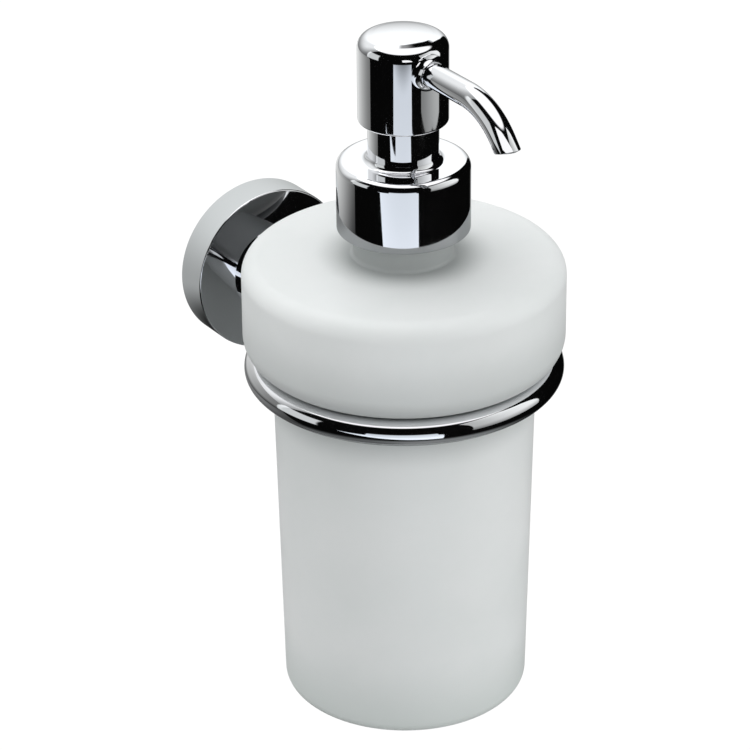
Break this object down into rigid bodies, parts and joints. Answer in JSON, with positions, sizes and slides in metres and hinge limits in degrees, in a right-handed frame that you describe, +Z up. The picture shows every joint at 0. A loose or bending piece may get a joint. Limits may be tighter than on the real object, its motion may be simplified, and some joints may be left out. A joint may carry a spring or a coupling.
{
  "type": "wall mounted soap dispenser",
  "caption": "Wall mounted soap dispenser: satin glass bottle hung in a chromed wire ring on a round wall rosette, with a press pump, swivelling spout and dip tube.",
  "frame": {"origin": "centre of the rosette's back, on the wall and midway between the two screw holes", "axes": "+Y into the wall, +Z up, so the dispenser stands out of the wall along -Y"},
  "size_m": [0.086, 0.1242, 0.1921],
  "materials": {
    "chrome": "polished chrome plate on brass",
    "satin_glass": "white glass, satin outside",
    "white_plastic": "moulded, matt",
    "clear_plastic": "milky extruded tube",
    "steel": "stainless, bright",
    "plate_zinc": "cast, bare",
    "gasket_rubber": "soft, matt"
  },
  "bodies": {
    "bracket": {"wall_plate": "plate_zinc", "rosette": "chrome", "grub_screw": "steel", "arm": "chrome", "arm_screw": "steel", "arm_dowel": "steel", "holder_ring": "chrome", "ring_stud": "steel"},
    "bottle": {"bottle": "satin_glass"},
    "pump_body": {"neck_gasket": "gasket_rubber", "pump_housing": "white_plastic", "guide_bush": "white_plastic", "ball_cage": "white_plastic", "dip_tube": "clear_plastic", "return_spring": "steel"},
    "inlet_ball": {"inlet_ball": "steel"},
    "collar": {"collar": "chrome", "closure_insert": "white_plastic"},
    "plunger": {"piston_stem": "white_plastic", "piston": "gasket_rubber"},
    "outlet_ball": {"outlet_ball": "steel"},
    "head": {"head_shell": "chrome", "head_insert": "white_plastic", "spout": "chrome", "spout_ferrule": "chrome"}
  },
  "joints": [
    {"name": "bottle_lift", "type": "slide", "parent": "bracket", "child": "bottle", "axis": [0, 0, 1], "range_m": [0, 0.105]},
    {"name": "pump_rise", "type": "slide", "parent": "bottle", "child": "pump_body", "axis": [0, 0, 1], "range_m": [0, 0.00605]},
    {"name": "collar_turn", "type": "hinge", "parent": "pump_body", "child": "collar", "pos_m": [0, -0.075, 0.0385], "axis": [0, 0, 1], "range_deg": [0, 720]},
    {"name": "inlet_lift", "type": "slide", "parent": "pump_body", "child": "inlet_ball", "axis": [0, 0, 1], "range_m": [0, 0.0014]},
    {"name": "press", "type": "slide", "parent": "pump_body", "child": "plunger", "axis": [0, 0, -1], "range_m": [0, 0.009], "stiffness_N_per_m": 600, "springref_m": -0.012, "deforming": ["return_spring"]},
    {"name": "outlet_lift", "type": "slide", "parent": "plunger", "child": "outlet_ball", "axis": [0, 0, 1], "range_m": [0, 0.0014]},
    {"name": "spout_swivel", "type": "hinge", "parent": "plunger", "child": "head", "pos_m": [0, -0.075, 0.08595], "axis": [0, 0, 1], "continuous": true}
  ],
  "couplings": [
    {"joint": "pump_rise", "follows": "collar_turn", "m_per_rad": 0.00047746}
  ]
}
